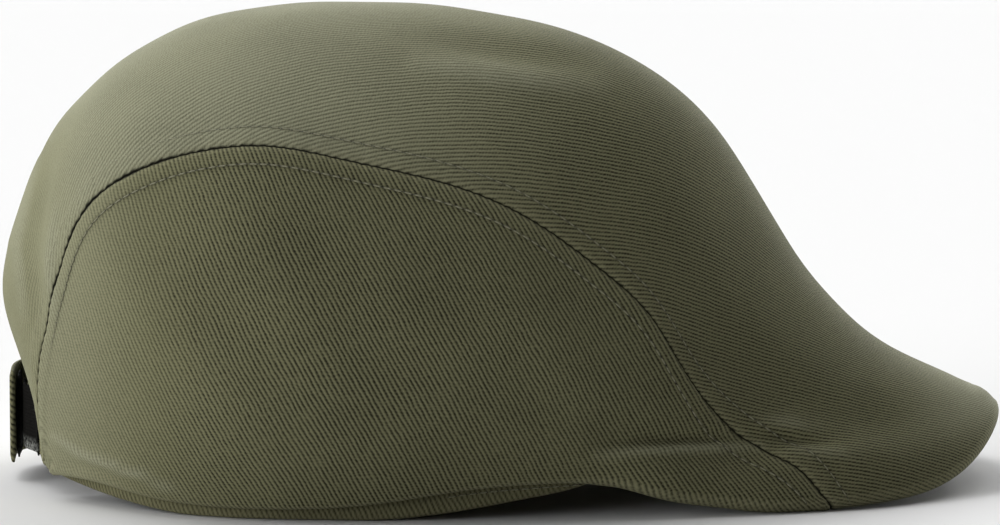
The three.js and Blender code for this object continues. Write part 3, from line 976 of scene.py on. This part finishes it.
def ribbonLoop(path, start, end, depth, wall, bottom, top, corner=0.0):
    # out along one face, round the end, back along the other; the outer columns close its edges
    curve = splineThrough(path)
    last = len(path) - 1
    place = np.linspace(start * last, end * last, strapCut["steps"])
    ahead = unit(curve(place + 0.01) - curve(place - 0.01))
    inward = np.stack((np.abs(ahead[:, 1]), -np.sign(ahead[:, 1]) * ahead[:, 0]), -1)
    middle = curve(place) + inward * (depth + wall / 2)
    turns = np.radians(np.linspace(-90, 90, 9))[1:-1, None]
    half = wall / 2
    endTurn = middle[-1] + half * (np.cos(turns) * ahead[-1] + np.sin(turns) * inward[-1])
    startTurn = middle[0] - half * (np.cos(turns) * ahead[0] + np.sin(turns) * inward[0])
    nearFace = middle - inward * half
    farFace = middle + inward * half
    outline = np.concatenate((nearFace, endTurn, farFace[::-1], startTurn, nearFace[:1]))
    centre = np.concatenate((middle, np.repeat(middle[-1:], len(turns), 0), middle[::-1],
                             np.repeat(middle[:1], len(turns), 0), middle[:1]))
    # the first end's corners are rounded, and the long edges softened
    trim = np.maximum(corner - length(outline - outline[0]), 0)
    trim = corner * (1 - np.sqrt(np.maximum(1 - (trim / max(corner, 0.1)) ** 2, 0)))
    up = np.linspace(0, 1, strapCut["columns"])
    z = (bottom + trim)[:, None] * (1 - up) + (top - trim)[:, None] * up
    fromEdge = np.minimum(up, 1 - up) * (strapCut["columns"] - 1) / 2
    soft = half * 0.5 * (1 - np.sin(np.pi * np.clip(fromEdge, 0, 0.5)))
    face = outline[:, None] + (centre - outline)[:, None] / half * soft[None, :, None]
    points = np.concatenate((face, z[..., None]), -1)
    low = np.concatenate((centre, z[:, :1]), -1)[:, None]
    high = np.concatenate((centre, z[:, -1:]), -1)[:, None]
    return np.concatenate((low, points, high), 1)


def ribbonPiece(name, material, slotName, node, *loop):
    points = ribbonLoop(*loop)
    shape = gridPiece(points, laidStraight(points, 1, 0), {})
    bmesh.ops.remove_doubles(shape, verts=shape.verts, dist=1e-7)
    bmesh.ops.dissolve_degenerate(shape, edges=shape.edges, dist=1e-7)
    bmesh.ops.recalc_face_normals(shape, faces=shape.faces)
    finished(name, shape, [material], [node])


tapeLook = {
    "deep": linear(4, 4, 3), "lint": linear(150, 152, 146),
    "lintTop": 0.0128,    # height under which the tapes have lint, m
    "lintFade": 250,      # how fast it grows below that, for each metre
    "depth": 0.0003, "roughness": 0.95, "shine": 0.04,
}


def tapeMaterial(name, grain, light, lint):
    # dark hooks or loops, with pale lint caught along the lower edge
    shade = Shade(name)
    here = shade.objectPlace()
    x, y = shade.clothPlace()
    hooks = (x / grain).wave() * (y / grain).wave()
    fuzz = shade.noise(here, 2400.0, 3.0, 0.7)
    height = hooks * 0.7 + fuzz * 0.6
    colour = shade.mixed(height.limited(), tapeLook["deep"], linear(*light))
    low = (tapeLook["lintTop"] - shade.part(here, "Z")) * tapeLook["lintFade"]
    caught = ((shade.noise(here, 900.0, 2.0) - 0.4) * 5).limited() * low.limited() * lint
    colour = shade.mixed(caught, colour, tapeLook["lint"])
    roughness = tapeLook["roughness"] - fuzz * 0.1
    return shade.finish(colour, roughness, height, tapeLook["depth"],
                        {"Specular IOR Level": tapeLook["shine"]})


strapTwill = twillMaterial("strap_twill", 40, twillLook, False)
hookMaterial = tapeMaterial("hook_tape", 0.7, (17, 16, 14), 0.15)
loopMaterial = tapeMaterial("loop_tape", 0.9, (20, 19, 17), 0.9)
ribbonPiece("strap_cloth", strapTwill, "twill", "strap", strapCut["path"], 0, 1, 0,
            strapCut["wall"], strapCut["bottom"], strapCut["top"], 1.2)
ribbonPiece("strap_tab_cloth", strapTwill, "twill", "strap_tab", strapCut["tabPath"], 0, 1, 0,
            strapCut["wall"], strapCut["tabBottom"], strapCut["tabTop"])
ribbonPiece("hook_tape_weave", hookMaterial, "tape", "hook_tape", strapCut["path"], 0.03, 0.3,
            strapCut["wall"] + strapCut["gap"], strapCut["tapeWall"],
            strapCut["tabBottom"] - 3.6, strapCut["tabTop"] + 1.4, 2.5)
ribbonPiece("loop_tape_weave", loopMaterial, "tape", "loop_tape", strapCut["tabPath"], 0.03, 0.9,
            -strapCut["gap"] - strapCut["tapeWall"], strapCut["tapeWall"],
            strapCut["tabBottom"], strapCut["tabTop"])


# topstitching: each stitch is a small drop of thread, half sunk in the cloth
threadLook = {
    "length": 2.6, "width": 0.4, "height": 0.44,
    # how proud of the cloth it stands and how deep it sinks round the back, crown (-1) and sides (1)
    "stands": {-1: (0.0, 0.14), 1: (0.06, 0.25)},
    "light": linear(140, 139, 112), "shaded": linear(92, 91, 68), "holeShadow": linear(22, 21, 13),
    "depth": 0.00005, "sheen": 0.1,
}
threadShade = Shade("thread")
threadPlace = threadShade.objectPlace()
threadTwist = threadShade.noise(threadPlace, 3200.0, 1.0)
threadColour = threadShade.mixed(threadTwist, threadLook["shaded"], threadLook["light"])
# the stitch ends are painted dark: painted shadow where the thread goes into the cloth
threadColour = threadShade.mixed(threadShade.mark("holeShadow"), threadColour, threadLook["holeShadow"])
threadRough = threadShade.noise(threadPlace, 900.0) * 0.2 + 0.6
threadMaterial = threadShade.finish(threadColour, threadRough, threadTwist, threadLook["depth"],
                                    {"Sheen Weight": threadLook["sheen"]})


threadShape = bmesh.new()
holeShadow = threadShape.verts.layers.float.new("holeShadow")


def sewAlong(line, normal, toSide):
    # stitches of one length along a line of points; their ends, where they go down into the cloth, are
    # painted dark as painted shadow
    run = runOf(line)
    mirror = np.array((1, toSide, 1))

    def at(values, place):
        return mirror * [np.interp(place, run, values[:, a]) for a in range(3)]

    for i in range(int(run[-1] / sewing["pitch"])):
        middle = (i + 0.5) * sewing["pitch"]
        start = at(line, middle - threadLook["length"] / 2)
        end = at(line, middle + threadLook["length"] / 2)
        up = Vector(at(normal, middle)).normalized()
        along = Vector(end - start)
        sideways = up.cross(along).normalized()
        turned = Matrix((sideways * threadLook["width"], up * threadLook["height"], along)).transposed()
        place = Matrix.Translation(Vector((start + end) / 2 * metre)) @ turned.to_4x4()
        place = place @ Matrix.Scale(metre / 2, 4)
        made = bmesh.ops.create_uvsphere(threadShape, u_segments=6, v_segments=6, radius=1, matrix=place)
        for vertex in made["verts"]:
            fromMiddle = abs((vertex.co - place.translation).dot(along) / along.length_squared) * 2 / metre
            vertex[holeShadow] = float(smooth(0.5, 0.75, fromMiddle))


def seamStitches(side, toSide):
    # a row beside the seam, on the crown (-1) or on the side panel (1), that ends round the turned edge
    away = sewing["rowAway"]
    rows = np.linspace(*sewing["rows"][side], 900)
    across = 1 + side * away / seamSpeed(rows, side)
    rows = rows[across < 2]
    across = across[across < 2]
    base = skinPoint(rows, across)
    normal = normalOf(skinPoint, rows, across)
    proud, sinks = threadLook["stands"][side]
    height = clothRelief(base, rows, away, side) + proud - sinks * (1 - sewnDepth(rows, side))
    endPlace = rows[-1] if side > 0 else lastRow + 1 - across[-1]
    angles = np.radians(np.linspace(12, 78, 12))
    turned = edgeFrame(leaning(endPlace, angles))
    turnedNormal = turned[1] * np.cos(angles)[:, None] + turned[2] * np.sin(angles)[:, None]
    line = np.concatenate((base + normal * height[:, None], rollPoint(turned, angles, -proud)))
    sewAlong(line, np.concatenate((normal, turnedNormal)), toSide)


def bandStitches(toSide):
    # a short row on the band, in view under the hem
    hemPoint = archPoint(np.linspace(*sewing["hemRows"], 200), 2.0)
    bandFine = np.linspace(0, bandLast, 400)
    bandRow = np.interp(hemPoint[:, 0], band["x"](bandFine), bandFine)
    lift = (hemPoint[:, 2] - hemRoll - sewing["underHem"] - bandFoot(bandRow)) / band["height"](bandRow)
    line = bandPoint(1 - bandRow / bandLast, lift, -0.02)
    outward = unit(joined(-np.gradient(line[:, 1]), np.gradient(line[:, 0]), 0))
    sewAlong(line, outward, toSide)


for toSide in (-1, 1):
    seamStitches(-1, toSide)
    seamStitches(1, toSide)
    bandStitches(toSide)
bmesh.ops.recalc_face_normals(threadShape, faces=threadShape.faces)
finished("topstitch_thread", threadShape, [threadMaterial])


# floor, lights and a dim room
light = {
    "room": 0.01, "floor": 0.7, "wall": 0.9, "size": 40,
    # way to each lamp and its strength
    "lamps": {
        "key behind left": ((-0.45, 0.45, 0.77), 2.0),
        "left": ((-0.88, 0, 0.47), 1.35),
        "low front left": ((-0.86, -0.5, 0.14), 2.0),
        "top": ((0, 0.31, 0.95), 0.4),
        "behind right": ((0.45, 0.45, 0.77), 0.9),
        "low behind": ((0, 0.99, 0.14), 2.2),
        "low behind right": ((0.5, 0.86, 0.14), 2.6),
    },
}
floorShape = bmesh.new()
bmesh.ops.create_grid(floorShape, x_segments=1, y_segments=1, size=6)
floorMesh = bpy.data.meshes.new("floor")
floorShape.to_mesh(floorMesh)
floorShape.free()
floorShade = Shade("floor")
floorShade.plain({"Base Color": (light["floor"],) * 3 + (1,), "Roughness": 1, "Specular IOR Level": 0})
floorMesh.materials.append(floorShade.material)
floor = added("floor", floorMesh)

world = bpy.data.worlds.new("room")
world.use_nodes = True
room = world.node_tree.nodes["Background"]
room.inputs["Color"].default_value = (1, 1, 1, 1)
seen = world.node_tree.nodes.new("ShaderNodeLightPath")
strength = world.node_tree.nodes.new("ShaderNodeMapRange")
strength.inputs["To Min"].default_value = light["room"]
strength.inputs["To Max"].default_value = light["wall"]     # the wall that the camera sees past the floor
world.node_tree.links.new(seen.outputs["Is Camera Ray"], strength.inputs["Value"])
world.node_tree.links.new(strength.outputs["Result"], room.inputs["Strength"])
scene.world = world
for lampName, (way, energy) in light["lamps"].items():
    lamp = bpy.data.lights.new(lampName, "SUN")
    lamp.energy = energy
    lamp.angle = math.radians(light["size"])
    added(lampName, lamp).rotation_euler = Vector(way).to_track_quat("Z", "Y").to_euler()
scene.view_settings.view_transform = "Standard"
